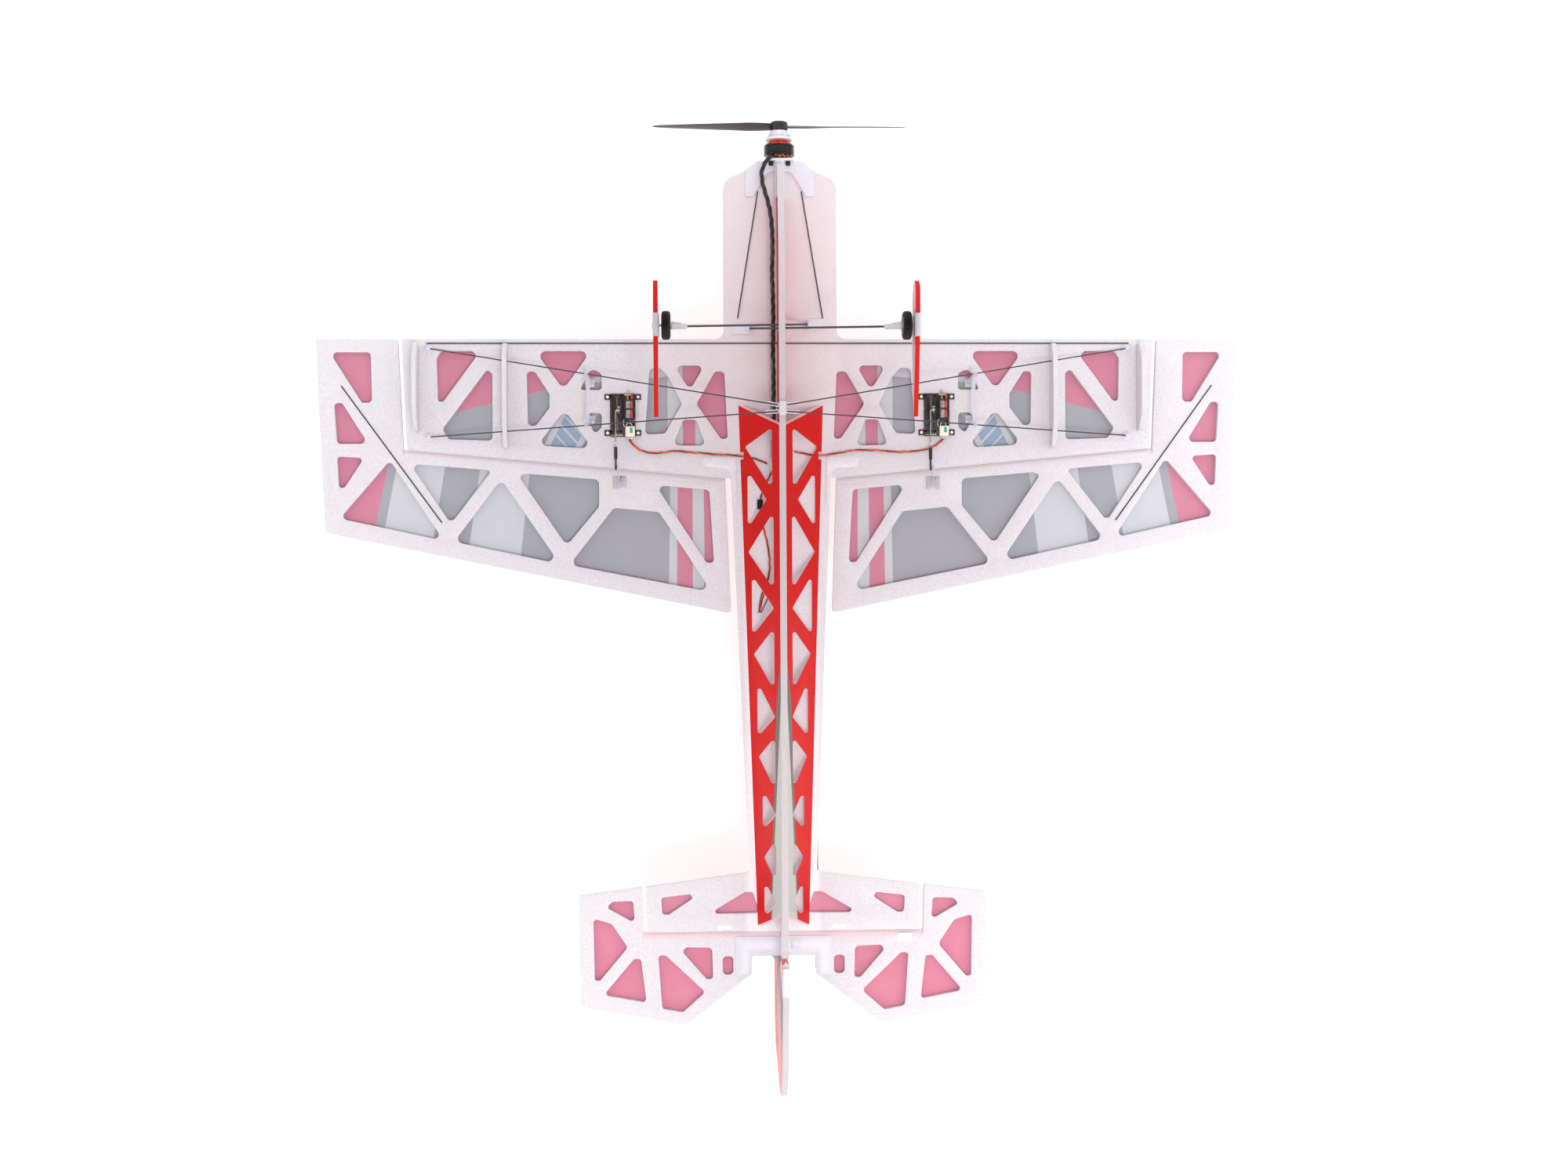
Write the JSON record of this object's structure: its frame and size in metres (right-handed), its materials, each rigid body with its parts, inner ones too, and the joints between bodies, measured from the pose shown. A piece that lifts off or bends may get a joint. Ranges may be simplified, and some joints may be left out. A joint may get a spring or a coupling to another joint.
{
  "type": "rc foam airplane",
  "caption": "Flat-foam aerobatic model airplane with truss cut-outs, strut-braced wing, wheel pants, electric motor and linked control surfaces.",
  "frame": {"origin": "on the ground under the middle of the airplane; the tyres touch z=0", "axes": "nose towards -Y, tail +Y, left wing +X, up +Z"},
  "size_m": [0.8598, 0.912, 0.2824],
  "materials": {
    "white_foam": "matte",
    "printed_film": "satin",
    "red_foam": "matte",
    "clear_plastic": "gloss",
    "white_plastic": "satin",
    "carbon": "satin",
    "dark_steel": "satin",
    "steel": "satin",
    "copper_winding": "satin",
    "black_metal": "satin",
    "grey_plastic": "satin",
    "black_rubber": "matte",
    "black_plastic": "satin",
    "blue_wrap": "gloss",
    "black_webbing": "matte",
    "black_wire": "satin",
    "orange_wire": "satin"
  },
  "bodies": {
    "airframe": {"aileron_servos": "black_plastic", "axle_hubs": "white_plastic", "axle_pins": "steel", "battery": "blue_wrap", "battery_strap": "black_webbing", "belly_panel_left": "red_foam", "belly_panel_right": "red_foam", "elevator_servo": "black_plastic", "foam_plate": "white_foam", "gear_legs": "carbon", "gear_sockets": "white_plastic", "leading_edge_spar": "carbon", "lower_keel": "white_foam", "motor_mount": "white_plastic", "motor_stator": "copper_winding", "mount_screws": "dark_steel", "nose_rods": "carbon", "pant_clamps": "white_plastic", "plate_film": "printed_film", "power_leads": "black_wire", "receiver": "black_plastic", "root_doublers": "clear_plastic", "rudder_servo": "black_plastic", "servo_leads": "orange_wire", "speed_controller": "black_plastic", "strut_anchors": "white_plastic", "strut_braces": "clear_plastic", "strut_clamp": "white_plastic", "upper_profile": "white_foam", "wheel_pants": "red_foam", "wing_fences": "white_foam", "wing_struts": "carbon"},
    "prop_assembly": {"motor_rotor": "black_metal", "prop_adapter": "white_plastic", "propeller": "grey_plastic"},
    "wheel_left": {"tyre_left": "black_rubber", "wheel_rim_left": "white_plastic"},
    "wheel_right": {"tyre_right": "black_rubber", "wheel_rim_right": "white_plastic"},
    "aileron_left_panel": {"aileron_left": "white_foam", "aileron_film_left": "printed_film", "aileron_horn_left": "clear_plastic"},
    "aileron_right_panel": {"aileron_right": "white_foam", "aileron_film_right": "printed_film", "aileron_horn_right": "clear_plastic"},
    "elevator_panel": {"elevator": "white_foam", "elevator_film": "printed_film", "elevator_joiner": "clear_plastic", "elevator_horn": "clear_plastic"},
    "rudder_panel": {"rudder": "white_foam", "rudder_shoe": "white_plastic", "rudder_horn": "clear_plastic"},
    "carriage_left": {"servo_carriage_left": "black_plastic"},
    "carriage_right": {"servo_carriage_right": "black_plastic"},
    "carriage_elevator": {"elevator_carriage": "black_plastic"},
    "carriage_rudder": {"rudder_carriage": "black_plastic"},
    "rod_left": {"aileron_pushrod_left": "black_plastic"},
    "rod_right": {"aileron_pushrod_right": "black_plastic"},
    "rod_elevator": {"elevator_pushrod": "black_plastic"},
    "rod_rudder": {"rudder_pushrod": "black_plastic"}
  },
  "joints": [
    {"name": "propeller_spin", "type": "hinge", "parent": "airframe", "child": "prop_assembly", "pos_m": [0, -0.45, 0.145], "axis": [0, -1, 0], "continuous": true},
    {"name": "wheel_left_spin", "type": "hinge", "parent": "airframe", "child": "wheel_left", "pos_m": [0.105, -0.249, 0.0125], "axis": [1, 0, 0], "continuous": true},
    {"name": "wheel_right_spin", "type": "hinge", "parent": "airframe", "child": "wheel_right", "pos_m": [-0.105, -0.249, 0.0125], "axis": [1, 0, 0], "continuous": true},
    {"name": "aileron_left_hinge", "type": "hinge", "parent": "airframe", "child": "aileron_left_panel", "pos_m": [0.052, -0.1237, 0.148], "axis": [0.9959, -0.091, 0], "range_deg": [-40, 40]},
    {"name": "aileron_right_hinge", "type": "hinge", "parent": "airframe", "child": "aileron_right_panel", "pos_m": [-0.052, -0.1237, 0.148], "axis": [0.9959, 0.091, 0], "range_deg": [-40, 40]},
    {"name": "elevator_hinge", "type": "hinge", "parent": "airframe", "child": "elevator_panel", "pos_m": [0, 0.3, 0.148], "axis": [1, 0, 0], "range_deg": [-45, 45]},
    {"name": "rudder_hinge", "type": "hinge", "parent": "airframe", "child": "rudder_panel", "pos_m": [0, 0.32, 0.19], "axis": [0, 0, 1], "range_deg": [-45, 45]},
    {"name": "servo_carriage_left_slide", "type": "slide", "parent": "airframe", "child": "carriage_left", "axis": [0, 1, 0], "range_m": [-0.0096, 0.0096]},
    {"name": "servo_carriage_right_slide", "type": "slide", "parent": "airframe", "child": "carriage_right", "axis": [0, 1, 0], "range_m": [-0.0096, 0.0096]},
    {"name": "elevator_carriage_slide", "type": "slide", "parent": "airframe", "child": "carriage_elevator", "axis": [0, 1, 0], "range_m": [-0.0105, 0.0105]},
    {"name": "rudder_carriage_slide", "type": "slide", "parent": "airframe", "child": "carriage_rudder", "axis": [0, 1, 0], "range_m": [-0.0112, 0.0112]},
    {"name": "pushrod_left_pivot", "type": "hinge", "parent": "aileron_left_panel", "child": "rod_left", "pos_m": [0.1395, -0.1317, 0.134], "axis": [0.9959, -0.091, 0], "range_deg": [-41, 41]},
    {"name": "pushrod_right_pivot", "type": "hinge", "parent": "aileron_right_panel", "child": "rod_right", "pos_m": [-0.1535, -0.13297, 0.134], "axis": [0.9959, 0.091, 0], "range_deg": [-41, 41]},
    {"name": "pushrod_elevator_pivot", "type": "hinge", "parent": "elevator_panel", "child": "rod_elevator", "pos_m": [0.0336, 0.3, 0.162], "axis": [1, 0, 0], "range_deg": [-46, 46]},
    {"name": "pushrod_rudder_pivot", "type": "hinge", "parent": "rudder_panel", "child": "rod_rudder", "pos_m": [-0.015, 0.32, 0.1704], "axis": [0, 0, 1], "range_deg": [-46, 46]}
  ],
  "couplings": [
    {"joint": "servo_carriage_left_slide", "follows": "aileron_left_hinge", "m_per_rad": 0.0132},
    {"joint": "pushrod_left_pivot", "follows": "aileron_left_hinge", "ratio": -1},
    {"joint": "servo_carriage_right_slide", "follows": "aileron_right_hinge", "m_per_rad": 0.0132},
    {"joint": "pushrod_right_pivot", "follows": "aileron_right_hinge", "ratio": -1},
    {"joint": "elevator_carriage_slide", "follows": "elevator_hinge", "m_per_rad": -0.0129},
    {"joint": "pushrod_elevator_pivot", "follows": "elevator_hinge", "ratio": -1},
    {"joint": "rudder_carriage_slide", "follows": "rudder_hinge", "m_per_rad": -0.0138},
    {"joint": "pushrod_rudder_pivot", "follows": "rudder_hinge", "ratio": -1}
  ]
}
